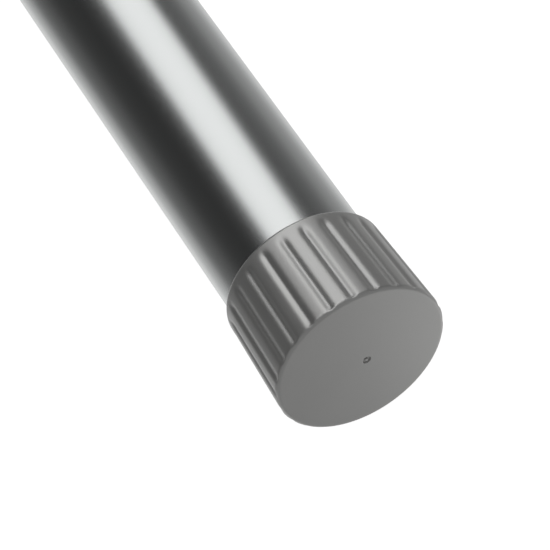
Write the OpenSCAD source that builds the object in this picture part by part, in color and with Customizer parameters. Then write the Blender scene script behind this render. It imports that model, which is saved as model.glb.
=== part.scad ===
// Adjustable door security bar. A steel tube slides in and out of a larger one and a snap
// button locks it at a row of holes. A ribbed rubber foot grips the floor, and a padded fork
// on a tilting knuckle braces under the door knob.
// The bar lies along X. The origin is the centre of the foot's bearing face, +X runs towards
// the fork, and the adjustment holes face +Z. Millimetres.

/* [Outer tube] */
// Outside diameter of the outer tube
tube_od = 38.1; // [37.6:0.1:38.4]
// Wall of both tubes
tube_wall = 1.5; // [1.3:0.1:1.5]
// Distance from the foot's face to the outer tube's mouth
tube_mouth_x = 560; // [560:5:600]

/* [Foot] */
// Diameter of the foot at its bearing face
foot_d = 44.2; // [43.6:0.1:45]
// Diameter of the foot at its open end
foot_back_d = 42.0; // [41.6:0.1:42.4]
// Length of the foot along the tube
foot_l = 28.9; // [26:0.1:34]
// Number of flutes round the foot and the collar
flute_n = 24; // [16:1:26]
// Radius of the round cutter that makes a flute
flute_r = 1.9; // [1.6:0.1:2.2]
// Depth of a flute below the surface beside it
flute_depth = 0.5; // [0.3:0.05:0.6]

/* [Inner tube] */
// Outside diameter of the inner tube
inner_od = 31.75; // [31.6:0.05:32]
// Length of the inner tube
inner_l = 515; // [505:1:520]

/* [Length adjustment] */
// Distance between neighbouring adjustment holes
pitch = 30; // [26:1:30]
// Number of adjustment holes
hole_n = 13; // [10:1:13]
// Adjustment hole that holds the button, counted from zero at the foot's end
rest_hole = 1; // [0:1:9]
// Distance from the foot's face to the first adjustment hole
first_hole_x = 160; // [155:1:160]
// Diameter of the snap button
button_d = 8; // [7:0.1:8]

/* [Fork] */
// Overall width of the fork
fork_w = 90; // [86:1:100]
// Clear width between the padded prongs
fork_gap = 44; // [42:1:46]
// Thickness of the fork at its knuckle
fork_t = 28; // [26:1:28]
// Length of each prong past the middle of the throat
prong_l = 33; // [30:1:38]

/* [Hidden] */
$fn = 64;
overcut = 1;            // how far a cutter runs past what it cuts
far = 60;               // beyond everything, measured from the bar's axis

tube_r = tube_od / 2;
tube_bore_r = tube_r - tube_wall;
inner_r = inner_od / 2;
inner_bore_r = inner_r - tube_wall;
foot_r = foot_d / 2;
foot_back_r = foot_back_d / 2;
slide_gap = 0.1;        // radial running clearance of the plastic bushes

// Foot, and the steel disc that stops the tube from cutting through it
foot_base = 4;
washer_t = 1;
foot_front_round = 1.25;
foot_back_round = 1.3;
flute_run_out = 1.5;    // from the foot's face to the middle of a flute's round end
flute_back_gap = 4;     // from the middle of its other end to the foot's open edge
flute_turn = 8.8;       // how far the foot is turned on its tube, degrees

// Collar and bush at the outer tube's mouth
flange_t = 2.5;
collar_x0 = tube_mouth_x - 32;
collar_x1 = tube_mouth_x + flange_t + 5.5;
collar_back_r = 20.6;
collar_front_r = 21.6;
collar_flute_r = 21.1;  // the collar's radius where its flutes begin
collar_lip_r = inner_r + 0.5;
mouth_bush_l = 25;
collar_screw_x = collar_x0 + 12;
collar_screw_r = 1.5;
collar_screw_tip = 16.6;
screw_seat = 20.2;
screw_head_r = 2.8;

// Snap button and the folded leaf spring that carries it
button_x = first_hole_x + rest_hole * pitch;
button_r = button_d / 2;
button_clear = 0.25;
button_stem_top = tube_r + 1.2;
button_dome_r = 7.4;
button_flange_r = 5.5;
button_flange_t = 1.5;
leg_z = 11.5;           // top of the leg under the button
leg_t = 0.8;
leg_w = 8;
spring_bottom = -13.7;
spring_reach = 46;
tail_r = 2;

// Inner tube and the bush on its hidden end
inner_x0 = button_x - 55;
inner_x1 = inner_x0 + inner_l;
slider_r = tube_bore_r - slide_gap;
slider_l = 30;
slider_cap = 4;
slider_hole_r = 8;
slider_groove = 0.7;
pin_r = 1.6;

// Socket on the visible end of the inner tube: a sleeve, a web and two ears
socket_x0 = inner_x1 - 42;
web_x = inner_x1 + 10;
block_x0 = inner_x1 - 8;
block_half = foot_r;    // level with the foot, so that the bar lies straight
ear_half_w = 20;
ear_gap = 13;
bolt_x = socket_x0 + 18;
bolt_r = 2.5;
bolt_clear = 0.1;
bolt_head_r = 4.75;
bolt_seat_y = 17.5;
small_nut_r = 4.6;

// Pivot
pivot_x = inner_x1 + 36;
pivot_r = 4;
pivot_clear = 0.05;
pivot_washer_t = 1.6;
pivot_washer_y = ear_half_w + pivot_washer_t;
friction_t = 0.9;
pivot_head_t = 4.4;
nut_r = 7.5;
nut_t = 5;
nut_collar_t = 2;

// Fork
knuckle_r = fork_t / 2;
knuckle_half = ear_gap - 1;
sleeve_r = 5.5;
neck_fillet = 6;
flare = 60;             // slope of the fork's shoulders, degrees
shoulder_round = 12;
pad_t = 3;
throat_r = fork_gap / 2;
throat_seat_r = throat_r + pad_t;
throat_x = pivot_x + 47 + throat_seat_r;
tip_x = throat_x + prong_l;
tip_half_w = fork_w / 2 - 3;
tip_round = 8;
tip_inner_round = 6;
tip_half_t = 9;
pad_half_h = 8;
pad_x1 = tip_x - 8;
tongue_t = 2;
pad_ridge_r = 0.8;

// Points along an arc about [cx, cy], from angle a0 to angle a1.
function arc(cx, cy, r, a0, a1, n = 6) =
    [for (i = [0:n]) let (a = a0 + (a1 - a0) * i / n) [cx + r * cos(a), cy + r * sin(a)]];

// The same outline on the other side of the X axis, in reverse order.
function mirrored(points) = [for (i = [len(points) - 1:-1:0]) [points[i].x, -points[i].y]];

// A solid of revolution about the bar's axis; the outline's points are [radius, x].
module turned(outline) {
    rotate([0, 90, 0]) rotate_extrude($fn = 96) polygon(outline);
}

// A round rod along the bar's axis.
module rod_x(x0, x1, r) {
    translate([x0, 0, 0]) rotate([0, 90, 0]) cylinder(h = x1 - x0, r = r);
}

// A round rod parallel to Y that crosses the axis at x.
module rod_y(x, y0, y1, r) {
    translate([x, y0, 0]) rotate([-90, 0, 0]) cylinder(h = y1 - y0, r = r);
}

// The same with six flat sides; r reaches its corners.
module hex_y(x, y0, y1, r) {
    translate([x, y0, 0]) rotate([-90, 0, 0]) cylinder(h = y1 - y0, r = r, $fn = 6);
}

// A tube along the bar's axis.
module sleeve_x(x0, x1, r_out, r_in) {
    difference() {
        rod_x(x0, x1, r_out);
        rod_x(x0 - overcut, x1 + overcut, r_in);
    }
}

// A flat ring parallel to Y.
module ring_y(x, y0, y1, r_out, r_in) {
    difference() {
        rod_y(x, y0, y1, r_out);
        rod_y(x, y0 - overcut, y1 + overcut, r_in);
    }
}

// Children drawn twice, pointing out of the bar's two sides: their +Z becomes +Y, then -Y.
module both_sides(x) {
    for (side = [-1, 1]) translate([x, 0, 0]) rotate([-90 * side, 0, 0]) children();
}

// Round-ended cutters, evenly spaced round the bar. Each follows a surface whose radius is r0 at
// x0 and r1 at x1, and sinks into it by flute_depth.
module flute_cutters(x0, r0, x1, r1, turn = 0) {
    cut_l = norm([x1 - x0, r1 - r0]);
    tilt = atan2(r0 - r1, x1 - x0);
    for (i = [0:flute_n - 1]) rotate([turn + i * 360 / flute_n, 0, 0])
        translate([x0, 0, r0 + flute_r - flute_depth]) rotate([0, 90 + tilt, 0]) {
            cylinder(h = cut_l, r = flute_r, $fn = 24);
            for (end = [0, cut_l]) translate([0, 0, end]) rotate([0, 90, 0])
                sphere(r = flute_r, $fn = 24);
        }
}

// ---- Outer tube and what is fixed to it ----

module foot_ferrule() {
    color([0.48, 0.48, 0.47]) difference() {
        turned(concat(
            [[0, 0]],
            arc(foot_r - foot_front_round, foot_front_round, foot_front_round, -90, 0),
            arc(foot_back_r - foot_back_round, foot_l - foot_back_round, foot_back_round, 0, 80),
            [[tube_r, foot_l], [tube_r, foot_base], [0, foot_base]]
        ));
        flute_cutters(flute_run_out, foot_r, foot_l - flute_back_gap, foot_back_r, flute_turn);
    }
}

module ferrule_washer() {
    color([0.75, 0.76, 0.77]) rod_x(foot_base, foot_base + washer_t, tube_r - 0.2);
}

module collar_screw_holes() {
    both_sides(collar_screw_x) translate([0, 0, collar_screw_tip])
        cylinder(h = screw_seat - collar_screw_tip, r = collar_screw_r);
}

module outer_tube() {
    color([0.62, 0.63, 0.64]) difference() {
        sleeve_x(foot_base + washer_t, tube_mouth_x, tube_r, tube_bore_r);
        for (i = [0:hole_n - 1])
            translate([first_hole_x + i * pitch, 0, tube_bore_r - 4 * overcut])
                cylinder(h = tube_wall + 5 * overcut, r = button_r + button_clear);
        collar_screw_holes();
    }
}

module mouth_bush() {
    color([0.87, 0.87, 0.84]) difference() {
        union() {
            rod_x(tube_mouth_x - mouth_bush_l, tube_mouth_x, tube_bore_r);
            rod_x(tube_mouth_x, tube_mouth_x + flange_t, tube_r);
        }
        rod_x(collar_x0, collar_x1, inner_r + slide_gap);
        collar_screw_holes();
    }
}

module mouth_collar() {
    color([0.48, 0.48, 0.47]) difference() {
        turned(concat(
            [[tube_r, collar_x0]],
            arc(collar_back_r - 1, collar_x0 + 1, 1, -90, 0),
            arc(collar_front_r - 2, collar_x1 - 2, 2, 0, 90),
            [[collar_lip_r, collar_x1], [collar_lip_r, tube_mouth_x + flange_t],
             [tube_r, tube_mouth_x + flange_t]]
        ));
        flute_cutters(collar_screw_x + 7, collar_flute_r, collar_x1 - 4, collar_front_r);
        collar_screw_holes();
        both_sides(collar_screw_x) translate([0, 0, screw_seat])
            cylinder(h = 3, r = screw_head_r + 0.3);
    }
}

module collar_screws() {
    head_top = screw_seat + 1.5;
    color([0.72, 0.73, 0.74]) both_sides(collar_screw_x) difference() {
        rotate_extrude() polygon(concat(
            [[0, collar_screw_tip], [collar_screw_r, collar_screw_tip], [collar_screw_r, screw_seat],
             [screw_head_r, screw_seat]],
            arc(screw_head_r - 1, head_top - 1, 1, 0, 90),
            [[0, head_top]]
        ));
        for (turn = [0, 90]) rotate([0, 0, turn])
            translate([-1.5, -0.3, head_top - 0.8]) cube([3, 0.6, 2]);
    }
}

// ---- Inner tube and what is fixed to it ----

module bush_pin_rods() {
    both_sides(inner_x0 + slider_l / 2) translate([0, 0, inner_bore_r - 1])
        cylinder(h = slider_r - inner_bore_r + 0.85, r = pin_r);
}

module inner_tube() {
    color([0.66, 0.67, 0.68]) difference() {
        sleeve_x(inner_x0, inner_x1, inner_r, inner_bore_r);
        translate([button_x, 0, inner_bore_r - 4 * overcut])
            cylinder(h = tube_wall + 5 * overcut, r = button_r + button_clear);
        rod_y(bolt_x, -inner_od, inner_od, bolt_r + bolt_clear);
        bush_pin_rods();
    }
}

module slider_bush() {
    color([0.87, 0.87, 0.84]) difference() {
        rod_x(inner_x0 - slider_cap, inner_x0 + slider_l, slider_r);
        rod_x(inner_x0, inner_x0 + slider_l + overcut, inner_r);
        rod_x(inner_x0 - slider_cap - overcut, inner_x0 + overcut, slider_hole_r);
        bush_pin_rods();
        for (i = [0:7]) rotate([45 * i + 22.5, 0, 0])
            translate([inner_x0 - slider_cap - overcut, -1, slider_r - slider_groove])
                cube([slider_cap + slider_l + 2 * overcut, 2, 2]);
    }
}

module bush_pins() {
    color([0.6, 0.61, 0.62]) bush_pin_rods();
}

// The leaf's side outline: a leg under the button, a round bend, and a leg on the far wall.
module snap_spring() {
    bend_r = (leg_z - spring_bottom) / 2;
    bend_z = (leg_z + spring_bottom) / 2;
    bend_x = button_x + spring_reach - bend_r;
    color([0.55, 0.56, 0.58]) difference() {
        translate([0, leg_w / 2, 0]) rotate([90, 0, 0]) linear_extrude(leg_w) polygon(concat(
            [[button_x - 6, leg_z]],
            arc(bend_x, bend_z, bend_r, 90, -90, 20),
            [[button_x - 14, spring_bottom], [button_x - 14, spring_bottom + leg_t]],
            arc(bend_x, bend_z, bend_r - leg_t, -90, 90, 20),
            [[button_x - 6, leg_z - leg_t]]
        ));
        translate([button_x, 0, leg_z - leg_t - overcut])
            cylinder(h = leg_t + 2 * overcut, r = tail_r + bolt_clear);
    }
}

// Stem, domed top, flange that keeps it in the tube, and a tail riveted under the leaf.
module snap_button() {
    color([0.74, 0.75, 0.76]) translate([button_x, 0, 0]) union() {
        translate([0, 0, leg_z]) cylinder(h = button_flange_t, r = button_flange_r);
        translate([0, 0, leg_z]) cylinder(h = button_stem_top - leg_z, r = button_r);
        intersection() {
            translate([0, 0, button_stem_top - 6.2]) sphere(r = button_dome_r);
            translate([0, 0, button_stem_top - 0.5]) cylinder(h = 3, r = button_r);
        }
        translate([0, 0, leg_z - leg_t - 0.5]) cylinder(h = leg_t + 1, r = tail_r);
        translate([0, 0, leg_z - leg_t - 1.2]) cylinder(h = 1.2, r = tail_r + 1);
    }
}

module yoke_socket() {
    color([0.48, 0.48, 0.47]) difference() {
        union() {
            turned([
                [0, socket_x0], [18.2, socket_x0], [19, socket_x0 + 0.8],
                [ear_half_w - 0.3, block_x0], [ear_half_w - 0.3, web_x], [0, web_x]
            ]);
            translate([0, ear_half_w, 0]) rotate([90, 0, 0]) linear_extrude(2 * ear_half_w)
                polygon(concat(
                    [[block_x0, 4 - block_half], [block_x0 + 7, -block_half]],
                    arc(pivot_x, 0, block_half, -90, 90, 32),
                    [[block_x0 + 7, block_half], [block_x0, block_half - 4]]
                ));
        }
        rod_x(socket_x0 - overcut, inner_x1, inner_r);
        translate([web_x, -ear_gap, -far / 2]) cube([far, 2 * ear_gap, far]);
        rod_y(bolt_x, -far, far, bolt_r + bolt_clear);
        rod_y(bolt_x, bolt_seat_y, far, bolt_head_r + 0.25);
        hex_y(bolt_x, -far, -bolt_seat_y, small_nut_r + 0.25);
        rod_y(pivot_x, -far, far, pivot_r + pivot_clear);
    }
}

module socket_bolt() {
    head_top = bolt_seat_y + 2.7;
    color([0.72, 0.73, 0.74]) difference() {
        union() {
            rod_y(bolt_x, -bolt_seat_y - 4, bolt_seat_y, bolt_r);
            rod_y(bolt_x, bolt_seat_y, head_top, bolt_head_r);
        }
        hex_y(bolt_x, head_top - 1.7, far, 1.8);
    }
}

module socket_nut() {
    color([0.72, 0.73, 0.74]) difference() {
        hex_y(bolt_x, -bolt_seat_y - 3.6, -bolt_seat_y, small_nut_r);
        rod_y(bolt_x, -far, 0, bolt_r);
    }
}

// ---- Pivot ----

module pivot_bolt() {
    color([0.72, 0.73, 0.74]) difference() {
        union() {
            rod_y(pivot_x, -pivot_washer_y - nut_t - nut_collar_t - 1.5, pivot_washer_y, pivot_r);
            rod_y(pivot_x, pivot_washer_y, pivot_washer_y + pivot_head_t, 7);
        }
        hex_y(pivot_x, pivot_washer_y + 1.6, far, 2.9);
    }
}

module pivot_nut() {
    color([0.72, 0.73, 0.74]) difference() {
        union() {
            hex_y(pivot_x, -pivot_washer_y - nut_t, -pivot_washer_y, nut_r);
            rod_y(pivot_x, -pivot_washer_y - nut_t - nut_collar_t, -pivot_washer_y - nut_t, 6);
        }
        rod_y(pivot_x, -far, 0, pivot_r);
    }
}

module pivot_washers() {
    color([0.72, 0.73, 0.74]) {
        ring_y(pivot_x, ear_half_w, pivot_washer_y, 8, pivot_r + 0.2);
        ring_y(pivot_x, -pivot_washer_y, -ear_half_w, 8, pivot_r + 0.2);
    }
}

module friction_washers() {
    color([0.9, 0.9, 0.88]) {
        ring_y(pivot_x, ear_gap - friction_t, ear_gap, 12, pivot_r + pivot_clear);
        ring_y(pivot_x, -ear_gap, friction_t - ear_gap, 12, pivot_r + pivot_clear);
    }
}

// ---- Fork and its lining ----

// Half of the fork's plan: neck, fillet, sloping shoulder, prong, tip and inner face.
function fork_half_plan() =
    let (
        fillet_y = knuckle_half + neck_fillet,
        round_y = fork_w / 2 - shoulder_round,
        rise = round_y + shoulder_round * cos(flare) - (fillet_y - neck_fillet * cos(flare)),
        fillet_x = pivot_x + 27 - neck_fillet,
        round_x = fillet_x + (neck_fillet + shoulder_round) * sin(flare) + rise / tan(flare)
    )
    concat(
        [[pivot_x, knuckle_half]],
        arc(fillet_x, fillet_y, neck_fillet, -90, flare - 90, 10),
        arc(round_x, round_y, shoulder_round, flare + 90, 90, 12),
        arc(tip_x - tip_round, tip_half_w - tip_round, tip_round, 90, 0, 14),
        arc(tip_x - tip_inner_round, throat_seat_r + tip_inner_round, tip_inner_round, 0, -90, 12),
        [[throat_x, throat_seat_r]]
    );

// A half ring about the throat, on the side of the knuckle, of the given height.
module throat_half_ring(r_in, r_out, half_h) {
    translate([throat_x, 0, -half_h]) difference() {
        cylinder(h = 2 * half_h, r = r_out);
        translate([0, 0, -overcut]) cylinder(h = 2 * (half_h + overcut), r = r_in);
        translate([0, -far, -overcut]) cube([far, 2 * far, 2 * (half_h + overcut)]);
    }
}

// The rib on the back of a prong's pad that presses into a groove in the fork.
module prong_tongue(side) {
    y0 = side > 0 ? throat_seat_r : -throat_seat_r - tongue_t;
    translate([throat_x, y0, -tongue_t]) cube([pad_x1 - throat_x - 3, tongue_t, 2 * tongue_t]);
}

module yoke_fork() {
    color([0.48, 0.48, 0.47]) difference() {
        union() {
            rod_y(pivot_x, -knuckle_half, knuckle_half, knuckle_r);
            intersection() {
                translate([0, 0, -knuckle_r]) linear_extrude(fork_t)
                    polygon(concat(fork_half_plan(), mirrored(fork_half_plan())));
                translate([0, far, 0]) rotate([90, 0, 0]) linear_extrude(2 * far) polygon([
                    [pivot_x, -knuckle_r], [throat_x - 12, -knuckle_r], [tip_x, -tip_half_t],
                    [tip_x, tip_half_t], [throat_x - 12, knuckle_r], [pivot_x, knuckle_r]
                ]);
            }
        }
        rod_y(pivot_x, -far, far, sleeve_r);
        translate([throat_x, 0, -far]) cylinder(h = 2 * far, r = throat_seat_r);
        throat_half_ring(throat_r, throat_seat_r + tongue_t, tongue_t);
        for (side = [-1, 1]) prong_tongue(side);
    }
}

module pivot_sleeve() {
    color([0.75, 0.7, 0.5])
        ring_y(pivot_x, -knuckle_half, knuckle_half, sleeve_r, pivot_r + pivot_clear);
}

module throat_pad() {
    color([0.16, 0.16, 0.17]) {
        throat_half_ring(throat_r, throat_seat_r, pad_half_h);
        throat_half_ring(throat_seat_r, throat_seat_r + tongue_t, tongue_t);
    }
}

// One prong's lining, with a rounded leading end and a row of grip grooves across its face.
module prong_pad(side) {
    color([0.16, 0.16, 0.17]) union() {
        difference() {
            mirror([0, side > 0 ? 0 : 1, 0]) translate([0, 0, -pad_half_h])
                linear_extrude(2 * pad_half_h) polygon(concat(
                    [[throat_x, throat_seat_r]],
                    arc(pad_x1 - pad_t, throat_seat_r, pad_t, 0, -90),
                    [[throat_x, throat_r]]
                ));
            for (i = [1:5])
                translate([throat_x + 3.6 * i, side * throat_r, -pad_half_h - overcut])
                    cylinder(h = 2 * (pad_half_h + overcut), r = pad_ridge_r, $fn = 24);
        }
        prong_tongue(side);
    }
}

module yoke_pad_left() {
    prong_pad(1);
}

module yoke_pad_right() {
    prong_pad(-1);
}

foot_ferrule();
ferrule_washer();
outer_tube();
mouth_bush();
mouth_collar();
collar_screws();
inner_tube();
slider_bush();
bush_pins();
snap_spring();
snap_button();
yoke_socket();
socket_bolt();
socket_nut();
pivot_bolt();
pivot_nut();
pivot_washers();
friction_washers();
yoke_fork();
pivot_sleeve();
throat_pad();
yoke_pad_left();
yoke_pad_right();
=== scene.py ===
"""An adjustable door security bar: fluted foot, satin telescoping tubes, padded tilting fork.

Metres. The bar lies along X with the foot's face at the origin and the fork at the far end; the
adjustment holes face +Z. Angles round the bar are measured from +Y towards +Z.
"""
import math

import bmesh
import bpy
import numpy as np
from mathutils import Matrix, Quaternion, Vector


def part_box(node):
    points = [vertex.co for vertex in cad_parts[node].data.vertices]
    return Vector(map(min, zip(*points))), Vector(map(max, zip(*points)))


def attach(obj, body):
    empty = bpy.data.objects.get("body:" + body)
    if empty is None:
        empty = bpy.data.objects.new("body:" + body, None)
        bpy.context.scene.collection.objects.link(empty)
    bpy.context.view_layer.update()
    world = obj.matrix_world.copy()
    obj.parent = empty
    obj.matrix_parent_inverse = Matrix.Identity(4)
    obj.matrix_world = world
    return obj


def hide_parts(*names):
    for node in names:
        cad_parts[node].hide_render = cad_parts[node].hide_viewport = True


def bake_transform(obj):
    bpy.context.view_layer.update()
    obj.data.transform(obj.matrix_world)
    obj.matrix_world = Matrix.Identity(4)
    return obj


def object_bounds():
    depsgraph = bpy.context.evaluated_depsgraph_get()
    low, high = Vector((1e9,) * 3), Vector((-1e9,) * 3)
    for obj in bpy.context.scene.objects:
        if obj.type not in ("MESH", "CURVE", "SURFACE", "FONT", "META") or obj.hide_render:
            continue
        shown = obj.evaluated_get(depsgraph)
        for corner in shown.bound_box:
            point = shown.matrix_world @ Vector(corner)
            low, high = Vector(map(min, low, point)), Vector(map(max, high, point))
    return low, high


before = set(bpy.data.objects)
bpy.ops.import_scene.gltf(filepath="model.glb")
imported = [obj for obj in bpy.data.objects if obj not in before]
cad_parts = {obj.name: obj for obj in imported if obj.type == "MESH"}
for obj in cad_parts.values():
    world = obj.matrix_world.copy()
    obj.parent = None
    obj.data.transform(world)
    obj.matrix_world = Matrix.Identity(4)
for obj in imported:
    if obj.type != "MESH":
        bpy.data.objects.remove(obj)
cad_low, cad_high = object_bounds()

MM = 0.001
TAU = 2 * math.pi

# ---- Sizes, in millimetres, worked out from the frame ----


def span(node):
    """Lowest and highest corner of a CAD node, in millimetres."""
    low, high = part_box(node)
    return np.array(low) / MM, np.array(high) / MM


def middle_x(node):
    """Middle of a CAD node's box along the bar, in millimetres."""
    low, high = span(node)
    return (low[0] + high[0]) / 2


_, foot_high = span("foot_ferrule")
stop_low, _ = span("ferrule_washer")
tube_low, tube_high = span("outer_tube")
collar_low, collar_high = span("mouth_collar")
inner_low, inner_high = span("inner_tube")
button_low, button_high = span("snap_button")
_, spring_high = span("snap_spring")
socket_low, _ = span("yoke_socket")
socket_bolt_low, socket_bolt_high = span("socket_bolt")
socket_nut_low, socket_nut_high = span("socket_nut")
pivot_low, pivot_high = span("pivot_bolt")
nut_low, nut_high = span("pivot_nut")
_, washer_high = span("pivot_washers")
_, throat_high = span("throat_pad")
_, pad_high = span("yoke_pad_left")

wall = 1.5              # of both tubes
tube_r = tube_high[2]
inner_r = inner_high[2]
foot_r = foot_high[2]
foot_back_r = 21.0
foot_l = foot_high[0]
foot_bore_x = stop_low[0]
screw_x = middle_x("collar_screws")
button_x = middle_x("snap_button")
pin_x = middle_x("bush_pins")
bolt_x = middle_x("socket_bolt")
pivot_x = middle_x("pivot_bolt")
leaf_top = spring_high[2]
leaf_low = leaf_top - 0.8
HOLES = 13
hole_pitch = 30.0
hole_r = 4.25
first_hole_x = button_x - hole_pitch
pin_r = 1.6
collar_screw_r = 1.5
bolt_hole_r = 2.6
edge_break = 0.25       # radius worked onto drilled and cut metal edges

# ---- Outlines and grids ----


def rounded(corners, steps=6, guard=0.12):
    """Points along straight runs with rounded corners. Each corner is (x, y, radius): the arc
    touches both runs at radius * tan(half the turn) from the corner, and a guard point just
    outside each end of the arc keeps the flat beside it flat."""
    points = [np.array(c[:2], float) for c in corners]
    out = []
    for i, (x, y, radius) in enumerate(corners):
        here = points[i]
        if radius <= 0 or i in (0, len(corners) - 1):
            out.append(here)
            continue
        back = points[i - 1] - here
        ahead = points[i + 1] - here
        back_l, ahead_l = np.linalg.norm(back), np.linalg.norm(ahead)
        back, ahead = back / back_l, ahead / ahead_l
        turn = math.pi - math.acos(np.clip(back @ ahead, -1, 1))
        reach = min(radius * math.tan(turn / 2), 0.49 * back_l, 0.49 * ahead_l)
        true_r = reach / math.tan(turn / 2)
        inward = (back + ahead) / np.linalg.norm(back + ahead)
        centre = here + inward * true_r / math.cos(turn / 2)
        start, end = here + back * reach, here + ahead * reach
        if reach + guard < 0.6 * back_l:
            out.append(start + back * guard)
        a, b = start - centre, end - centre
        for t in np.linspace(0, 1, steps + 1):
            w = (np.sin((1 - t) * turn) * a + np.sin(t * turn) * b) / math.sin(turn)
            out.append(centre + w)
        if reach + guard < 0.6 * ahead_l:
            out.append(end + ahead * guard)
    return np.array(out)


def refine(points, step):
    """The same line with extra points, no further apart than step."""
    out = [points[0]]
    for a, b in zip(points[:-1], points[1:]):
        n = max(1, int(math.ceil(np.linalg.norm(b - a) / step)))
        out.extend(a + (b - a) * k / n for k in range(1, n + 1))
    return np.array(out)


def turned(outline, angles, axis="X", centre=(0, 0, 0), radius_at=None):
    """A grid [outline point, angle] of a surface of revolution: radius r and height h of each
    outline point are carried round the axis. radius_at(r, h, angle) may reshape the radius."""
    r, h = (outline[:, k][:, None] for k in (0, 1))
    t = np.asarray(angles)[None, :]
    if radius_at is not None:
        r = radius_at(r, h, t)
    u, v = r * np.cos(t), r * np.sin(t)
    h = h + np.zeros_like(u)
    placed = {"X": (h, u, v), "Y": (v, h, u), "Z": (u, v, h)}[axis]
    return np.stack(placed, -1) + np.array(centre, float)


def quads(grid, wrap):
    """Points and four-sided faces of a grid [row, column]; wrap joins the last column to the
    first."""
    rows, columns = grid.shape[:2]
    index = np.arange(rows * columns).reshape(rows, columns)
    if wrap:
        index = np.concatenate([index, index[:, :1]], 1)
    a, b, c, d = index[:-1, :-1], index[:-1, 1:], index[1:, 1:], index[1:, :-1]
    return grid.reshape(-1, 3), np.stack([a, b, c, d], -1).reshape(-1, 4)


def make_mesh(name, shells, sharp=35, normal_rule=None):
    """One mesh from shells of (points in millimetres, faces): equal points are merged, faces are
    turned outwards, and edges that fold by more than sharp degrees stay crisp. normal_rule gives
    exact normals for the points where it isn't zero."""
    points = np.concatenate([s[0] for s in shells]) * MM
    starts = np.cumsum([0] + [len(s[0]) for s in shells[:-1]])
    faces = [[int(i) + int(start) for i in face]
             for (_, shell_faces), start in zip(shells, starts) for face in shell_faces]
    mesh = bpy.data.meshes.new(name)
    mesh.from_pydata(points.tolist(), [], faces)
    bm = bmesh.new()
    bm.from_mesh(mesh)
    bmesh.ops.remove_doubles(bm, verts=bm.verts, dist=2e-6)
    bmesh.ops.dissolve_degenerate(bm, edges=bm.edges, dist=1e-7)
    bmesh.ops.recalc_face_normals(bm, faces=bm.faces)
    bm.to_mesh(mesh)
    bm.free()
    mesh.shade_smooth()
    mesh.set_sharp_from_angle(angle=math.radians(sharp))
    if normal_rule is not None:
        where = np.empty(3 * len(mesh.vertices))
        mesh.vertices.foreach_get("co", where)
        mesh.normals_split_custom_set_from_vertices(normal_rule(where.reshape(-1, 3) / MM).tolist())
    return mesh


def new_object(name, data):
    """A new object in the scene."""
    obj = bpy.data.objects.new(name, data)
    bpy.context.scene.collection.objects.link(obj)
    return obj


def piece(name, mesh, body, slot, material, *nodes):
    """A finished piece that stands for the named CAD nodes. It rides on a body, or on none yet."""
    obj = new_object(name, mesh)
    mesh.materials.clear()
    mesh.materials.append(material)
    if body is not None:
        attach(obj, body)
    if nodes:
        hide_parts(*nodes)
    return obj


def round_angles(columns):
    """Evenly spaced angles, one turn."""
    return np.arange(columns) * TAU / columns


# ---- Materials ----


def node_tree(material):
    """Clears a material's nodes and returns its tree and its new shader."""
    material.use_nodes = True
    tree = material.node_tree
    tree.nodes.clear()
    shader = tree.nodes.new("ShaderNodeBsdfPrincipled")
    output = tree.nodes.new("ShaderNodeOutputMaterial")
    tree.links.new(shader.outputs["BSDF"], output.inputs["Surface"])
    return tree, shader


def new_group(name, inputs, outputs):
    """A shader node group with named sockets; each is (name, kind, value)."""
    group = bpy.data.node_groups.new(name, "ShaderNodeTree")
    for label, kind, value in inputs:
        socket = group.interface.new_socket(name=label, in_out="INPUT", socket_type=kind)
        if value is not None:
            socket.default_value = value
    for label, kind in outputs:
        group.interface.new_socket(name=label, in_out="OUTPUT", socket_type=kind)
    return group, group.nodes.new("NodeGroupInput"), group.nodes.new("NodeGroupOutput")


def math_node(tree, operation, a, b=None, c=None):
    """A Math node; each operand is a number or a socket."""
    node = tree.nodes.new("ShaderNodeMath")
    node.operation = operation
    for i, value in enumerate(v for v in (a, b, c) if v is not None):
        if isinstance(value, (int, float)):
            node.inputs[i].default_value = value
        else:
            tree.links.new(value, node.inputs[i])
    return node.outputs[0]


def noise(tree, vector, scale, detail=2.0, roughness=0.5):
    """A noise texture read at vector; scale is a number or a socket."""
    node = tree.nodes.new("ShaderNodeTexNoise")
    node.inputs["Detail"].default_value = detail
    node.inputs["Roughness"].default_value = roughness
    if isinstance(scale, (int, float)):
        node.inputs["Scale"].default_value = scale
    else:
        tree.links.new(scale, node.inputs["Scale"])
    tree.links.new(vector, node.inputs["Vector"])
    return node.outputs["Fac"]


COLOUR, FLOAT, VECTOR = "NodeSocketColor", "NodeSocketFloat", "NodeSocketVector"


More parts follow.
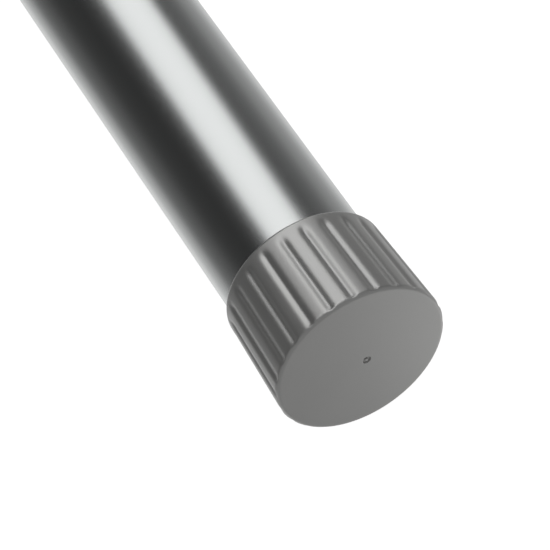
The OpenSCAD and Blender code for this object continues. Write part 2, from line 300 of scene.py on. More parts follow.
def build_surface_group():
    """Uneven tone and texture of a worked surface: a slow drift of tone, a fine grain, and light
    dust or scuffing where the slow noise is high. Gives colour, roughness and bump height."""
    group, given, result = new_group("worked_surface", [
        ("Vector", VECTOR, None),
        ("Colour", COLOUR, (0.5, 0.5, 0.5, 1)),
        ("Dust Colour", COLOUR, (0.6, 0.6, 0.6, 1)),
        ("Drift", FLOAT, 0.05),
        ("Drift Scale", FLOAT, 40.0),
        ("Grain Scale", FLOAT, 2500.0),
        ("Grain Tone", FLOAT, 0.05),
        ("Dust", FLOAT, 0.05),
        ("Roughness", FLOAT, 0.5),
        ("Roughness Spread", FLOAT, 0.05),
    ], [("Colour", COLOUR), ("Roughness", FLOAT), ("Height", FLOAT)])
    vector = given.outputs["Vector"]
    slow = noise(group, vector, given.outputs["Drift Scale"], 3.0, 0.55)
    fine = noise(group, vector, given.outputs["Grain Scale"], 3.0, 0.6)
    slow_offset = math_node(group, "SUBTRACT", slow, 0.5)
    fine_offset = math_node(group, "SUBTRACT", fine, 0.5)
    tone = math_node(group, "MULTIPLY_ADD", slow_offset, given.outputs["Drift"], 1.0)
    tone = math_node(group, "MULTIPLY_ADD", fine_offset, given.outputs["Grain Tone"], tone)
    shade = group.nodes.new("ShaderNodeVectorMath")
    shade.operation = "SCALE"
    group.links.new(given.outputs["Colour"], shade.inputs[0])
    group.links.new(tone, shade.inputs["Scale"])
    settled = math_node(group, "MULTIPLY", math_node(group, "SMOOTH_MIN", slow, 0.75, 0.1), fine)
    mix = group.nodes.new("ShaderNodeMix")
    mix.data_type = "RGBA"
    dust = math_node(group, "MULTIPLY", settled, given.outputs["Dust"])
    group.links.new(dust, mix.inputs["Factor"])
    group.links.new(shade.outputs[0], mix.inputs["A"])
    group.links.new(given.outputs["Dust Colour"], mix.inputs["B"])
    group.links.new(mix.outputs["Result"], result.inputs["Colour"])
    spread = math_node(group, "MULTIPLY_ADD", slow_offset, given.outputs["Roughness Spread"],
                       given.outputs["Roughness"])
    group.links.new(spread, result.inputs["Roughness"])
    group.links.new(fine, result.inputs["Height"])
    return group


worked_surface = build_surface_group()


def surface_material(name, colour, metallic=0.0, bump=0.1, bump_depth=0.00002, stretch=(1, 1, 1),
                     ior=1.5, specular=0.5, **values):
    """A Principled material whose colour, roughness and bump come from the worked surface group.
    stretch scales the pattern along X, Y and Z, so that a drawn finish can run along the bar."""
    material = bpy.data.materials.new(name)
    tree, shader = node_tree(material)
    place = tree.nodes.new("ShaderNodeTexCoord")
    mapping = tree.nodes.new("ShaderNodeMapping")
    mapping.inputs["Scale"].default_value = stretch
    group = tree.nodes.new("ShaderNodeGroup")
    group.node_tree = worked_surface
    group.inputs["Colour"].default_value = (*colour, 1)
    for label, value in values.items():
        group.inputs[label.replace("_", " ").title()].default_value = value
    height = tree.nodes.new("ShaderNodeBump")
    height.inputs["Strength"].default_value = bump
    height.inputs["Distance"].default_value = bump_depth
    tree.links.new(place.outputs["Object"], mapping.inputs["Vector"])
    tree.links.new(mapping.outputs["Vector"], group.inputs["Vector"])
    tree.links.new(group.outputs["Colour"], shader.inputs["Base Color"])
    tree.links.new(group.outputs["Roughness"], shader.inputs["Roughness"])
    tree.links.new(group.outputs["Height"], height.inputs["Height"])
    tree.links.new(height.outputs["Normal"], shader.inputs["Normal"])
    shader.inputs["Metallic"].default_value = metallic
    shader.inputs["IOR"].default_value = ior
    shader.inputs["Specular IOR Level"].default_value = specular
    return material


tube_metal = surface_material(
    "satin_tube", (0.61, 0.625, 0.622), metallic=1.0, bump=0.05, bump_depth=0.00001,
    roughness=0.27, roughness_spread=0.02, drift=0.02, drift_scale=12.0, grain_scale=6000.0,
    grain_tone=0.02, dust=0.0)
inner_metal = surface_material(
    "inner_satin_tube", (0.66, 0.665, 0.67), metallic=1.0, bump=0.12, bump_depth=0.00001,
    stretch=(0.05, 1, 1), roughness=0.24, roughness_spread=0.05, drift=0.05, drift_scale=60.0,
    grain_scale=5000.0, grain_tone=0.08, dust=0.0)
foot_grey = surface_material(
    "foot_rubber", (0.555, 0.555, 0.546), metallic=0.75, bump=0.15, bump_depth=0.00003,
    roughness=0.43, roughness_spread=0.05, drift=0.05, drift_scale=90.0, grain_scale=2600.0,
    grain_tone=0.05, dust=0.03)
moulded_grey = surface_material(
    "moulded_grey", (0.42, 0.42, 0.41), metallic=0.5, bump=0.3, bump_depth=0.00005, roughness=0.47,
    roughness_spread=0.06, drift=0.05, drift_scale=50.0, grain_scale=1800.0, grain_tone=0.06,
    dust=0.04)
pad_black = surface_material(
    "pad_rubber", (0.03, 0.03, 0.032), bump=0.3, bump_depth=0.00005, roughness=0.65,
    roughness_spread=0.08, drift=0.15, drift_scale=90.0, grain_scale=2200.0, grain_tone=0.2,
    dust=0.12)
zinc = surface_material(
    "zinc_steel", (0.68, 0.69, 0.7), metallic=1.0, bump=0.1, bump_depth=0.00002, roughness=0.3,
    roughness_spread=0.1, drift=0.12, drift_scale=250.0, grain_scale=3000.0, grain_tone=0.06,
    dust=0.02)
spring_metal = surface_material(
    "spring_steel", (0.36, 0.37, 0.39), metallic=1.0, bump=0.1, bump_depth=0.00002, roughness=0.33,
    roughness_spread=0.08, drift=0.2, drift_scale=120.0, grain_scale=4000.0, grain_tone=0.06,
    dust=0.0)
acetal = surface_material(
    "bush_acetal", (0.74, 0.74, 0.7), bump=0.1, bump_depth=0.00003, roughness=0.42,
    roughness_spread=0.05, drift=0.04, drift_scale=90.0, grain_scale=2500.0, grain_tone=0.03,
    dust=0.03)
bronze = surface_material(
    "sintered_bronze", (0.5, 0.36, 0.18), metallic=1.0, bump=0.3, bump_depth=0.00003,
    roughness=0.48, roughness_spread=0.1, drift=0.15, drift_scale=300.0, grain_scale=5000.0,
    grain_tone=0.2, dust=0.0)

# ---- Fluted foot and collar ----

FLUTES = 24
FLUTE_COLUMNS = 26      # columns of the mesh in each flute's share of the turn
flute_depth = 0.5
flute_spread = math.radians(1.8)    # half angle at which a flute's wall is steepest
foot_turn = math.radians(8.8)
gate_shift = np.array([0.0, -1.41, -1.04])      # the moulding gate sits a little off centre


def eased(x, start, end):
    """Rises smoothly from 0 at start to 1 at end: 3u^2 - 2u^3 of the share u of the way."""
    u = np.clip((x - start) / (end - start), 0, 1)
    return u * u * (3 - 2 * u)


def flute_angles(turn):
    """Angles round a fluted part, close together in each flute and wider apart on the land
    between: each pitch's own run from -1/2 to 1/2 is bent by a sine."""
    run = np.linspace(-0.5, 0.5, FLUTE_COLUMNS, endpoint=False)
    bent = run - 0.6 * np.sin(TAU * run) / TAU
    pitches = np.arange(FLUTES)[:, None]
    return ((pitches + bent[None, :]) * TAU / FLUTES + turn).ravel()


def fluted_radius(start, end, turn):
    """A radius rule that sinks shallow flutes into a turned side. Across a flute the depth is a
    bell curve of the angle from its middle; along it the depth rises over the range start and
    falls again over the range end."""
    def rule(r, h, t):
        """The radius, less the flute's depth on the outside."""
        pitch = TAU / FLUTES
        off = (t - turn + pitch / 2) % pitch - pitch / 2
        bell = np.exp(-0.5 * (off / flute_spread) ** 2)
        length = eased(h, *start) * (1 - eased(h, *end))
        outside = r > tube_r + 1
        return r - flute_depth * bell * length * outside
    return rule


def make_foot():
    """A closed cup turned about X: flat face, rounded rim, slightly flared fluted side, rounded
    open end, and a bore that stops at the washer. A moulding gate's ring is sunk in the face, and
    the points round it slide sideways in the face's plane to put it off centre."""
    bore_r = tube_r + 0.02
    face_rings = (1.6, 5, 10, 15, 20)
    gate = [(0.4, 0.0, 0.08), (0.52, 0.55, 0.06), (0.92, 0.55, 0.06), (1.1, 0.0, 0.1)]
    rim = [(foot_r, 0.0, 1.28), (foot_back_r, foot_l, 1.3), (bore_r, foot_l, 0.25)]
    face = rounded([(0, 0, 0), *gate, *((r, 0, 0) for r in face_rings)], steps=4)
    side = rounded([(face_rings[-1], 0, 0), *rim, (bore_r, foot_bore_x, 0)], steps=9)
    outline = np.concatenate([face, refine(side, 0.9)[1:], [(0, foot_bore_x)]])
    rule = fluted_radius((0.1, 1.3), (foot_l - 4.5, foot_l - 1.8), foot_turn)
    grid = turned(outline, flute_angles(foot_turn), radius_at=rule)
    on_face = outline[:, 1] < 0.5
    slide = (1 - eased(outline[:, 0], 1.5, 15.0)) * on_face
    return make_mesh("foot", [quads(grid + slide[:, None, None] * gate_shift, True)])


def make_collar():
    """A fluted ring turned about X, closed on itself: outside, front lip, step for the bush's
    flange, and the bore over the tube."""
    x0, x1 = collar_low[0], collar_high[0]
    back_r, seam_r, lip_r = 20.6, 20.0, inner_r + 0.5
    step_x = x1 - 5.5
    outline = rounded([
        (seam_r, x0, 0), (back_r, x0, 1.0), (collar_high[2], x1, 2.0), (lip_r, x1, 0.6),
        (lip_r, step_x, 0), (tube_r, step_x, 0), (tube_r, x0, 0.3), (seam_r, x0, 0)
    ], steps=8)
    rule = fluted_radius((screw_x + 5, screw_x + 8), (x1 - 4.5, x1 - 2), 0.0)
    grid = turned(refine(outline, 0.9), flute_angles(0.0), radius_at=rule)
    return make_mesh("collar", [quads(grid, True)])


piece("foot", make_foot(), "outer", "foot_rubber", foot_grey, "foot_ferrule")
piece("collar", make_collar(), "outer", "moulded_grey", moulded_grey, "mouth_collar")

# ---- Tubes ----

QUARTER = 24            # columns in a quarter of a tube
# Shares of the way from a cell's border to its hole's rim at which the rings between them lie.
HOLE_SHARES = (0.0, 0.1, 0.2, 0.31, 0.42, 0.53, 0.64, 0.74, 0.83, 0.91, 0.97)


def cell_skin(radius, x0, x1, quarter, rows):
    """A quarter of a tube's skin between two stations, as a grid [row, column]."""
    x = np.linspace(x0, x1, rows + 1)[:, None]
    a = (quarter * TAU / 4 - TAU / 8 + np.linspace(0, TAU / 4, QUARTER + 1))[None, :]
    return np.stack([x + 0 * a, radius * np.cos(a) + 0 * x, radius * np.sin(a) + 0 * x], -1)


def drilled_skin(radius, x0, x1, quarter, rows, hole, sink):
    """The same quarter with a round hole in its middle, as a grid [ring, spoke]. Spokes run from
    the cell's border to the hole's rim; the last rings turn down over the rim, by sink, in a
    quarter round of the same size."""
    xm, half = (x0 + x1) / 2, (x1 - x0) / 2
    edge_x = np.linspace(-half, half, rows + 1)
    edge_a = np.linspace(-TAU / 8, TAU / 8, QUARTER + 1)
    ends_x, ends_a = np.full(QUARTER, half), np.full(rows, TAU / 8)
    border_x = np.concatenate([edge_x[:-1], ends_x, edge_x[:0:-1], -ends_x])
    border_a = np.concatenate([-ends_a, edge_a[:-1], ends_a, edge_a[:0:-1]])
    bearing = np.arctan2(border_a / (TAU / 8), border_x / half)
    reach = hole + abs(sink)
    rim_x, rim_a = reach * np.cos(bearing), np.arcsin(reach * np.sin(bearing) / radius)
    rings = [(xm + (1 - s) * border_x + s * rim_x, (1 - s) * border_a + s * rim_a, radius)
             for s in HOLE_SHARES]
    for turn in np.linspace(0, TAU / 4, 5):
        reach = hole + abs(sink) * (1 - math.sin(turn))
        r = radius - sink * (1 - math.cos(turn))
        rings.append((xm + reach * np.cos(bearing), np.arcsin(reach * np.sin(bearing) / r), r))
    middle = quarter * TAU / 4
    return np.stack([np.stack([x, r * np.cos(a + middle), r * np.sin(a + middle)], -1)
                     for x, a, r in rings])


def radial_normals(radius, bore):
    """A normal rule for a tube about X: points on the outside look straight out from the axis,
    points on the bore look straight in, and the rest keep what the mesh gives them."""
    def rule(points):
        """The unit vector away from the axis on the outside, towards it on the bore, or zero."""
        away = points * (0, 1, 1)
        r = np.linalg.norm(away, axis=1)
        way = 1.0 * (np.abs(r - radius) < 0.004) - 1.0 * (np.abs(r - bore) < 0.004)
        return away * (way / r)[:, None]
    return rule


def make_tube(name, stations, radius, holes):
    """A tube about X with both skins, rounded ends and round holes. stations are the borders of
    its cells and holes maps (cell, quarter) to a hole's radius. Quarter 1 faces +Z."""
    bore = radius - wall
    drilled = {cell for cell, quarter in holes}
    last = len(stations) - 2
    shells = []
    for i, (x0, x1) in enumerate(zip(stations[:-1], stations[1:])):
        a = x0 + edge_break * (i == 0)
        b = x1 - edge_break * (i == last)
        rows = max(2, int((x1 - x0) / (2.5 if i in drilled else 12)))
        for quarter in range(4):
            if (i, quarter) in holes:
                hole = holes[i, quarter]
                outer = drilled_skin(radius, a, b, quarter, rows, hole, edge_break)
                inner = drilled_skin(bore, a, b, quarter, rows, hole, -edge_break)
                wall_ring = np.stack([outer[-1], inner[-1]])
                shells += [quads(grid, True) for grid in (outer, inner, wall_ring)]
            else:
                shells += [quads(cell_skin(r, a, b, quarter, rows), False) for r in (radius, bore)]
    for x, way in ((stations[0], 1), (stations[-1], -1)):
        inside = x + way * edge_break
        lip = rounded([(radius, inside, 0), (radius, x, edge_break), (bore, x, edge_break),
                       (bore, inside, 0)], steps=5, guard=0.05)
        shells.append(quads(turned(lip, round_angles(4 * QUARTER) + TAU / 8), True))
    return make_mesh(name, shells, sharp=50, normal_rule=radial_normals(radius, bore))


row_start = first_hole_x - hole_pitch / 2
row_borders = [row_start + hole_pitch * i for i in range(HOLES + 1)]
outer_stations = [tube_low[0], *row_borders, 2 * screw_x - row_borders[-1], tube_high[0]]
outer_holes = {(i + 1, 1): hole_r for i in range(HOLES)}
outer_holes.update({(HOLES + 1, quarter): collar_screw_r for quarter in (0, 2)})
piece("outer_tube_wall", make_tube("outer_tube", outer_stations, tube_r, outer_holes),
      "outer", "satin_tube", tube_metal, "outer_tube")

inner_stations = [inner_low[0], 2 * pin_x - inner_low[0], button_x - hole_pitch / 2,
                  button_x + hole_pitch / 2, bolt_x - 10, bolt_x + 10, inner_high[0]]
inner_holes = {(0, 0): pin_r, (0, 2): pin_r, (2, 1): hole_r, (4, 0): bolt_hole_r,
               (4, 2): bolt_hole_r}
piece("inner_tube_wall", make_tube("inner_tube", inner_stations, inner_r, inner_holes),
      "inner", "inner_satin_tube", inner_metal, "inner_tube")

# ---- Button, bolts, nuts and washers ----


def hex_factor(angle):
    """How much further a hexagon's side is from its middle than its flat is, at each angle:
    one over the cosine of the angle from the nearest flat's middle."""
    return 1 / np.cos((angle + TAU / 12) % (TAU / 6) - TAU / 12)


def hex_radius(low, high, flat, chamfer):
    """A radius rule for a nut about its own axis: between heights low and high the outside is the
    lower of a hexagon's radius and a cone that cuts its corners 30 degrees from each end."""
    slope = math.tan(TAU / 6)

    def rule(r, h, t):
        """The lower of hexagon and cone on the outside; the bore keeps its radius."""
        cone = chamfer + slope * np.minimum(h - low, high - h)
        return np.where(r > 0.99 * flat, np.minimum(flat * hex_factor(t), cone), r)
    return rule


def socket_radius(flat):
    """A radius rule that makes a bolt's recess a hexagon: radii up to flat are stretched by the
    hexagon's factor, and the stretch fades out over the next half millimetre."""
    def rule(r, h, t):
        """The radius times the hexagon's factor, in the recess and above the bolt's middle."""
        share = (1 - eased(r, flat + 0.02, flat + 0.5)) * (h > 0)
        return r * (1 + share * (hex_factor(t) - 1))
    return rule


def threaded_radius(inner_rule, radius, start, pitch, depth):
    """Adds a thread to a rule: below height start the shank's radius follows a wave that climbs
    one pitch a turn."""
    def rule(r, h, t):
        """The first rule's radius, less the thread's wave on the shank."""
        wave = 0.5 - 0.5 * np.cos(TAU * h / pitch - t)
        on_shank = (np.abs(r - radius) < 0.01) * (1 - eased(h, start - pitch, start))
        return inner_rule(r, h, t) - depth * wave * on_shank
    return rule


def bolt_mesh(name, centre_x, head_r, seat, head_top, shank_r, tip, recess_flat, recess_h, crown):
    """A socket-head bolt turned about Y: hexagonal recess, crowned head, shank with a thread and a
    chamfered end. crown is the radius of the head's top edge, and tip is the shank's far end."""
    chamfer = 0.7
    end = tip + chamfer
    outline = rounded([
        (0, head_top - recess_h, 0), (recess_flat, head_top - recess_h, 0.1),
        (recess_flat, head_top, 0.25), (head_r, head_top, crown), (head_r, seat, 0.25),
        (shank_r, seat, 0.15), (shank_r, end, 0), (shank_r - chamfer, tip, 0.1), (0, tip, 0)
    ], steps=6, guard=0.08)
    rule = threaded_radius(socket_radius(recess_flat), shank_r, start=end + 2 * shank_r,
                           pitch=shank_r * 0.31, depth=shank_r * 0.08)
    grid = turned(refine(outline, 0.3), round_angles(96), "Y", (centre_x, 0, 0), rule)
    return make_mesh(name, [quads(grid, True)], sharp=40)


def nut_mesh(name, centre_x, low, high, flat, bore_r, collar_r=None, collar_low_y=None):
    """A hexagonal nut about Y between two heights, with chamfered corners, a countersunk bore and,
    on a lock nut, a rounded collar past its outer end."""
    sink = 0.3
    low_end = low if collar_r is None else collar_low_y
    corners = [(bore_r + sink, high, 0), (flat, high, 0.05), (flat, low, 0.05)]
    if collar_r is not None:
        corners += [(collar_r, low, 0.3), (collar_r, low_end, 0.9)]
    corners += [(bore_r + sink, low_end, 0), (bore_r, low_end + sink, 0), (bore_r, high - sink, 0),
                (bore_r + sink, high, 0)]
    outline = refine(rounded(corners, steps=5, guard=0.05), 0.25)
    rule = hex_radius(low, high, flat, flat * 1.02)
    grid = turned(outline, round_angles(96), "Y", (centre_x, 0, 0), rule)
    return make_mesh(name, [quads(grid, True)], sharp=24)


def ring_shell(centre_x, low, high, outer_r, inner_r, rounding):
    """A flat ring about Y with rounded edges."""
    middle = (low + high) / 2
    outline = rounded([(inner_r, middle, 0), (inner_r, low, rounding), (outer_r, low, rounding),
                       (outer_r, high, rounding), (inner_r, high, rounding), (inner_r, middle, 0)],
                      steps=4, guard=0.08)
    return quads(turned(outline, round_angles(96), "Y", (centre_x, 0, 0)), True)


def make_button():
    """Turned about Z: rivet head under the leaf, neck, flange that stops against the tube, stem
    and a crowned top with a softened edge. It clears the leaf by a little play."""
    bottom, top = button_low[2], button_high[2]
    rivet_r, neck_r, flange_r, stem_r = 3.0, 1.95, 5.5, 4.0
    play = 0.02
    flange_top = leaf_top + 1.5
    outline = rounded([
        (0, bottom, 0), (rivet_r, bottom, 0.4), (rivet_r, leaf_low - play, 0.1),
        (neck_r, leaf_low - play, 0), (neck_r, leaf_top + play, 0),
        (flange_r, leaf_top + play, 0.25), (flange_r, flange_top, 0.4), (stem_r, flange_top, 0.15),
        (stem_r, top - 1.25, 0.5), (2.9, top - 0.6, 3.0), (1.5, top - 0.1, 3.0), (0, top, 0)
    ], steps=6, guard=0.08)
    grid = turned(refine(outline, 0.4), round_angles(72), "Z", (button_x, 0, 0))
    return make_mesh("button", [quads(grid, True)], sharp=40)


piece("button", make_button(), "button", "zinc_steel", zinc, "snap_button")

washer_y = washer_high[1]
washer_half = 0.8       # half of a flat washer's thickness
washers = [ring_shell(pivot_x, middle - washer_half, middle + washer_half, outer_r=8.0,
                      inner_r=4.2, rounding=0.3)
           for middle in (washer_y - washer_half, washer_half - washer_y)]
piece("pivot_bolt_turned",
      bolt_mesh("pivot_bolt", pivot_x, head_r=7.0, seat=washer_y, head_top=pivot_high[1],
                shank_r=4.0, tip=pivot_low[1], recess_flat=2.5, recess_h=2.8, crown=1.0),
      "inner", "zinc_steel", zinc, "pivot_bolt")
piece("lock_nut",
      nut_mesh("lock_nut", pivot_x, nut_low[1] + 2, nut_high[1], flat=6.5, bore_r=4.0,
               collar_r=6.0, collar_low_y=nut_low[1]),
      "inner", "zinc_steel", zinc, "pivot_nut")
piece("flat_washers", make_mesh("washers", washers), "inner", "zinc_steel", zinc, "pivot_washers")
piece("socket_bolt_turned",
      bolt_mesh("socket_bolt", bolt_x, head_r=4.75, seat=socket_bolt_high[1] - 2.7,
                head_top=socket_bolt_high[1], shank_r=2.5, tip=socket_bolt_low[1],
                recess_flat=1.55, recess_h=1.7, crown=1.6),
      "inner", "zinc_steel", zinc, "socket_bolt")
piece("socket_nut_turned",
      nut_mesh("socket_nut", bolt_x, socket_nut_low[1], socket_nut_high[1], flat=3.98, bore_r=2.5),
      "inner", "zinc_steel", zinc, "socket_nut")

# ---- Socket and fork, with rounded moulded edges, and the leaf spring ----

SHARP_FOLD = math.radians(24)       # edges that fold by more stay crisp
pivot_bore_guard = 9                # nothing is rounded this near the pivot's axis


def mended(node):
    """A copy of a CAD node's solid as a bmesh, with its loose triangles merged and flat runs of
    them joined into whole faces."""
    bm = bmesh.new()
    bm.from_mesh(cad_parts[node].data)
    bmesh.ops.remove_doubles(bm, verts=bm.verts, dist=2e-6)
    bmesh.ops.dissolve_limit(bm, angle_limit=math.radians(0.6), verts=bm.verts, edges=bm.edges)
    return bm


def round_edges(bm, width, steps, wanted):
    """Rounds the edges that fold outwards by more than 30 degrees and whose two ends, in
    millimetres, pass the test wanted. Edges of the pivot's bore are left alone."""
    edges = []
    for edge in bm.edges:
        a, b = (v.co / MM for v in edge.verts)
        if edge.calc_face_angle_signed() > math.radians(30) and wanted(a, b):
            if min(math.hypot(p.x - pivot_x, p.z) for p in (a, b)) > pivot_bore_guard:
                edges.append(edge)
    bmesh.ops.bevel(bm, geom=edges, offset=width * MM, offset_type="OFFSET", segments=steps,
                    profile=0.5, affect="EDGES", clamp_overlap=False)


def cut_across(bm, stations):
    """Cuts every face of the bmesh across X at the given stations, in millimetres."""
    for x in stations:
        bmesh.ops.bisect_plane(bm, geom=[*bm.verts, *bm.edges, *bm.faces], dist=1e-7,
                               plane_co=(x * MM, 0, 0), plane_no=(1, 0, 0))


def smooth_mesh(name, bm):
    """A mesh from the bmesh, smooth but for its sharp folds."""
    mesh = bpy.data.meshes.new(name)
    bm.to_mesh(mesh)
    bm.free()
    mesh.shade_smooth()
    mesh.set_sharp_from_angle(angle=SHARP_FOLD)
    return mesh


def moulded(name, bm, body, node):
    """Turns the bmesh into a finished moulded piece with even shading on its flat faces."""
    obj = piece(name, smooth_mesh(name, bm), body, "moulded_grey", moulded_grey, node)
    even = obj.modifiers.new("even_faces", "WEIGHTED_NORMAL")
    even.weight = 80
    even.keep_sharp = True


def make_fork():
    """The fork's own solid with all its outside edges rounded; the grooves for the linings'
    tongues stay crisp."""
    bm = mended("yoke_fork")
    groove = 4.0
    round_edges(bm, 1.8, 6, lambda a, b: min(abs(a.z), abs(b.z)) > groove
                or max(a.x, b.x) < pivot_x)
    moulded("fork", bm, "yoke", "yoke_fork")


def make_socket():
    """The socket's own solid with rounded ears and lightly broken slot edges, and with cross cuts
    in its sleeve that keep the curved side's shading even."""
    bm = mended("yoke_socket")
    block_x, ear, gap = pivot_x - 44, 20.0, 13.0
    round_edges(bm, 1.6, 6, lambda a, b: min(a.y * b.y, ear ** 2) > ear ** 2 - 1
                and max(a.x, b.x) > block_x + 0.1)
    round_edges(bm, 0.7, 4, lambda a, b: abs(a.y * b.y - gap ** 2) < 0.5
                and min(a.x, b.x) > block_x + 5)
    cut_across(bm, np.arange(socket_low[0] + 2, block_x, 2.0))
    moulded("socket", bm, "inner", "yoke_socket")


def make_spring():
    """The leaf spring's own solid, cut across into short lengths from beside the button to its far
    end. It rides on no body, and its placement is baked into its points."""
    bm = mended("snap_spring")
    cut_across(bm, np.arange(button_x + 5, spring_high[0] - 1, 1.2))
    obj = piece("leaf_spring", smooth_mesh("leaf_spring", bm), None, "spring_steel", spring_metal,
                "snap_spring")
    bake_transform(obj)


make_fork()
make_socket()
make_spring()

# ---- Rubber pads ----

pad_t = 3.0
throat_r = 22.0
seat_r = throat_r + pad_t
pad_half = throat_high[2]
pad_edge_r = 1.3
tongue_half, tongue_depth = 2.0, 2.0
throat_x = throat_high[0]
pad_end_x = pad_high[0]
GROOVES = 5
groove_pitch, groove_r = 3.6, 0.8


def pad_section(face):
    """Section of a lining as (distance out from the throat's middle, height) loops, one for each
    value of face, the distance of the gripping face. Its two edges are rounded by as much as the
    thickness allows, its back lies on the seat, and a tongue stands out of its back."""
    face = np.asarray(face, float)[:, None]
    soft = np.minimum(pad_edge_r, 0.48 * (seat_r - face))
    t = np.linspace(0, TAU / 4, 6)[None, :]
    rise = np.linspace(-1, 1, 13)[None, 1:-1] * (pad_half - pad_edge_r)
    low_d, low_z = face + soft * (1 - np.sin(t)), -pad_half + soft * (1 - np.cos(t))
    blank = np.zeros_like(face)
    back = [(seat_r, -pad_half), (seat_r, -tongue_half), (seat_r + tongue_depth, -tongue_half),
            (seat_r + tongue_depth, tongue_half), (seat_r, tongue_half), (seat_r, pad_half)]
    parts = [(low_d, low_z), (face + 0 * rise, rise + 0 * face), (low_d[:, ::-1], -low_z[:, ::-1])]
    parts += [(d + blank, z + blank) for d, z in reversed(back)]
    distance = np.concatenate([p[0] for p in parts], 1)
    height = np.concatenate([p[1] for p in parts], 1)
    return distance, height


def capped(grid):
    """Shell of a grid of closed loops [station, point] with its two ends filled."""
    points, faces = quads(grid, True)
    count = grid.shape[1]
    ends = [list(range(count)), list(range(len(points) - count, len(points)))]
    return points, [list(f) for f in faces] + ends


def make_throat_pad():
    """The lining's section carried round the half circle at the throat's bottom."""
    turn = np.linspace(TAU / 4, 3 * TAU / 4, 73)
    distance, height = pad_section(np.full(len(turn), throat_r))
    x = throat_x + distance * np.cos(turn)[:, None]
    y = distance * np.sin(turn)[:, None]
    return make_mesh("throat_pad", [capped(np.stack([x, y, height], -1))])


def make_prong_pad(name, side):
    """The lining's section carried straight along a prong. Its face is notched by round grooves
    at even steps, and at the tip it curves back to the seat in a quarter round."""
    x = np.linspace(throat_x, pad_end_x - 0.02, 150)
    step = (x - throat_x) % groove_pitch
    notched = (x > throat_x + groove_pitch / 2) & (x <= throat_x + (GROOVES + 0.5) * groove_pitch)
    off = np.where(notched, np.minimum(step, groove_pitch - step), groove_r)
    groove = np.sqrt(np.maximum(groove_r ** 2 - off ** 2, 0))
    past = np.maximum(x - (pad_end_x - pad_t), 0)
    face = seat_r - np.sqrt(np.maximum(pad_t ** 2 - past ** 2, 0)) + groove
    distance, height = pad_section(np.minimum(face, seat_r - 0.02))
    tongue = (distance > seat_r + 0.01) & (x > pad_end_x - pad_t)[:, None]
    distance = np.where(tongue, seat_r, distance)
    grid = np.stack([x[:, None] + 0 * distance, side * distance, height], -1)
    return make_mesh(name, [capped(grid)])


piece("throat_lining", make_throat_pad(), "yoke", "pad_rubber", pad_black, "throat_pad")
for label, side in (("left", 1), ("right", -1)):
    piece(f"{label}_prong_lining", make_prong_pad(f"{label}_pad", side), "yoke", "pad_rubber",
          pad_black, f"yoke_pad_{label}")

# ---- CAD nodes that keep their own shape ----

for node, finish in {
    "ferrule_washer": zinc, "bush_pins": zinc, "collar_screws": zinc, "pivot_sleeve": bronze,
    "mouth_bush": acetal, "slider_bush": acetal, "friction_washers": acetal,
}.items():
    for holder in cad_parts[node].material_slots:
        holder.material = finish

# ---- Studio ----


def direction(azimuth, elevation):
    """Unit vector from the aim towards a viewer; azimuth 0 looks along +Y."""
    a, e = math.radians(azimuth), math.radians(elevation)
    return Vector((math.sin(a) * math.cos(e), -math.cos(a) * math.cos(e), math.sin(e)))


def add_camera():
    """A long lens above and in front of the foot, aimed beside the bar's axis."""
    data = bpy.data.cameras.new("camera")
    data.lens = 191.94
    data.sensor_width = 36.0
    data.clip_start, data.clip_end = 0.01, 50.0
    camera = new_object("camera", data)
    back = direction(-116.96, 46.69)
    aim = Vector((0.04461, -0.00018, -0.01382))
    camera.location = aim + back * 0.7178
    camera.rotation_mode = "QUATERNION"
    camera.rotation_quaternion = (-back).to_track_quat("-Z", "Y")
    bpy.context.scene.camera = camera


def add_softbox(name, centre, aim, width, depth, radiance, turn=0.0):
    """A rectangular light that gives off the same radiance all over. Its width runs level, or
    turned about its own axis by turn degrees."""
    data = bpy.data.lights.new(name, "AREA")
    data.shape = "RECTANGLE"
    data.size, data.size_y = width, depth
    data.energy = radiance * math.pi * width * depth
    light = new_object(name, data)
    light.location = centre
    light.rotation_mode = "QUATERNION"
    facing = (Vector(aim) - Vector(centre)).to_track_quat("-Z", "Y")
    light.rotation_quaternion = facing @ Quaternion((0, 0, 1), math.radians(turn))
    light.visible_camera = False


def add_floor():
    """A wide pale floor, lit and slightly self-lit so that it stays near white. It lies just under
    the lowest point that the fork reaches when it tilts down 45 degrees."""
    fork_half_h = 14
    reach = cad_high.x - pivot_x * MM + fork_half_h * MM
    z = -1.1 * reach * math.sin(math.radians(45))
    size = 12.0
    mesh = bpy.data.meshes.new("floor")
    mesh.from_pydata([(-size, -size, z), (size, -size, z), (size, size, z), (-size, size, z)], [],
                     [(0, 1, 2, 3)])
    floor = new_object("floor", mesh)
    material = bpy.data.materials.new("pale_floor")
    tree, shader = node_tree(material)
    shader.inputs["Base Color"].default_value = (0.85, 0.85, 0.85, 1)
    shader.inputs["Roughness"].default_value = 0.9
    shader.inputs["Specular IOR Level"].default_value = 0.0
    shader.inputs["Emission Color"].default_value = (1, 1, 1, 1)
    shader.inputs["Emission Strength"].default_value = 0.82
    mesh.materials.append(material)
    floor.visible_glossy = False
    floor.visible_diffuse = False
    floor.visible_shadow = False


# Brightness of the studio round the bar, by the angle from +Y towards +Z, in degrees.
SURROUND = [(-180, 0.36), (-135, 0.85), (-90, 1.0), (-62, 0.6), (-38, 0.16), (0, 0.045),
            (35, 0.02), (125, 0.055), (150, 0.14), (180, 0.36)]
FRONT_WALL = 0.28       # brightness in front of the foot, where the bar's side does not look


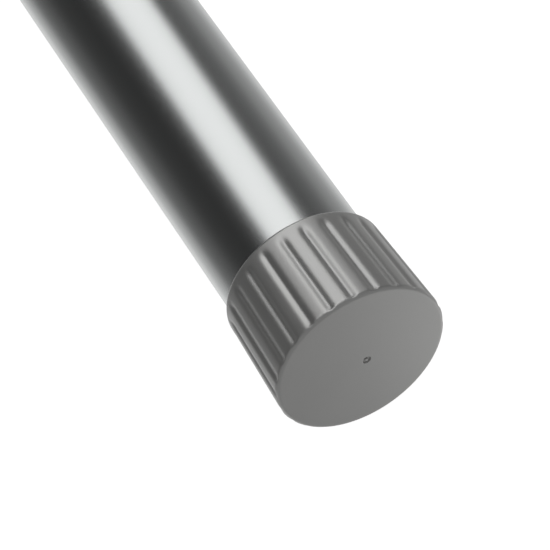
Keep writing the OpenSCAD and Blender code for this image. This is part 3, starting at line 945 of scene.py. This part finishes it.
def add_surround():
    """The studio's walls as a soft gradient round the bar's axis; the camera sees plain white."""
    world = bpy.data.worlds.new("studio")
    bpy.context.scene.world = world
    world.use_nodes = True
    tree = world.node_tree
    tree.nodes.clear()
    way = tree.nodes.new("ShaderNodeTexCoord")
    split = tree.nodes.new("ShaderNodeSeparateXYZ")
    tree.links.new(way.outputs["Generated"], split.inputs[0])
    angle = math_node(tree, "ARCTAN2", split.outputs["Z"], split.outputs["Y"])
    share = math_node(tree, "MULTIPLY_ADD", angle, 1 / TAU, 0.5)
    ramp = tree.nodes.new("ShaderNodeValToRGB")
    ramp.color_ramp.interpolation = "EASE"
    while len(ramp.color_ramp.elements) > 1:
        ramp.color_ramp.elements.remove(ramp.color_ramp.elements[-1])
    for i, (degrees, level) in enumerate(SURROUND):
        place = degrees / 360 + 0.5
        stop = ramp.color_ramp.elements[0] if i == 0 else ramp.color_ramp.elements.new(place)
        stop.position = place
        stop.color = (level, level, level, 1)
    tree.links.new(share, ramp.inputs["Fac"])
    front = tree.nodes.new("ShaderNodeMapRange")
    front.interpolation_type = "SMOOTHSTEP"
    front.inputs["From Min"].default_value = 0.1
    front.inputs["From Max"].default_value = -0.5
    tree.links.new(split.outputs["X"], front.inputs["Value"])
    blend = tree.nodes.new("ShaderNodeMix")
    blend.data_type = "RGBA"
    tree.links.new(front.outputs["Result"], blend.inputs["Factor"])
    tree.links.new(ramp.outputs["Color"], blend.inputs["A"])
    blend.inputs["B"].default_value = (*[FRONT_WALL] * 3, 1)
    walls = tree.nodes.new("ShaderNodeBackground")
    tree.links.new(blend.outputs["Result"], walls.inputs["Color"])
    plain = tree.nodes.new("ShaderNodeBackground")
    plain.inputs["Color"].default_value = (1, 1, 1, 1)
    seen = tree.nodes.new("ShaderNodeLightPath")
    mix = tree.nodes.new("ShaderNodeMixShader")
    output = tree.nodes.new("ShaderNodeOutputWorld")
    tree.links.new(seen.outputs["Is Camera Ray"], mix.inputs["Fac"])
    tree.links.new(walls.outputs[0], mix.inputs[1])
    tree.links.new(plain.outputs[0], mix.inputs[2])
    tree.links.new(mix.outputs[0], output.inputs["Surface"])


bpy.context.scene.view_settings.view_transform = "Standard"
add_camera()
add_floor()
add_surround()
add_softbox("overhead_softbox", (0.66, 0.025, 0.6), (0.66, 0.025, 0.0), 1.4, 0.575, 1.28, turn=-31)
add_softbox("front_softbox", (-0.06, -0.085, -0.075), (0.0, 0.0, 0.0), 0.08, 0.08, 0.5)
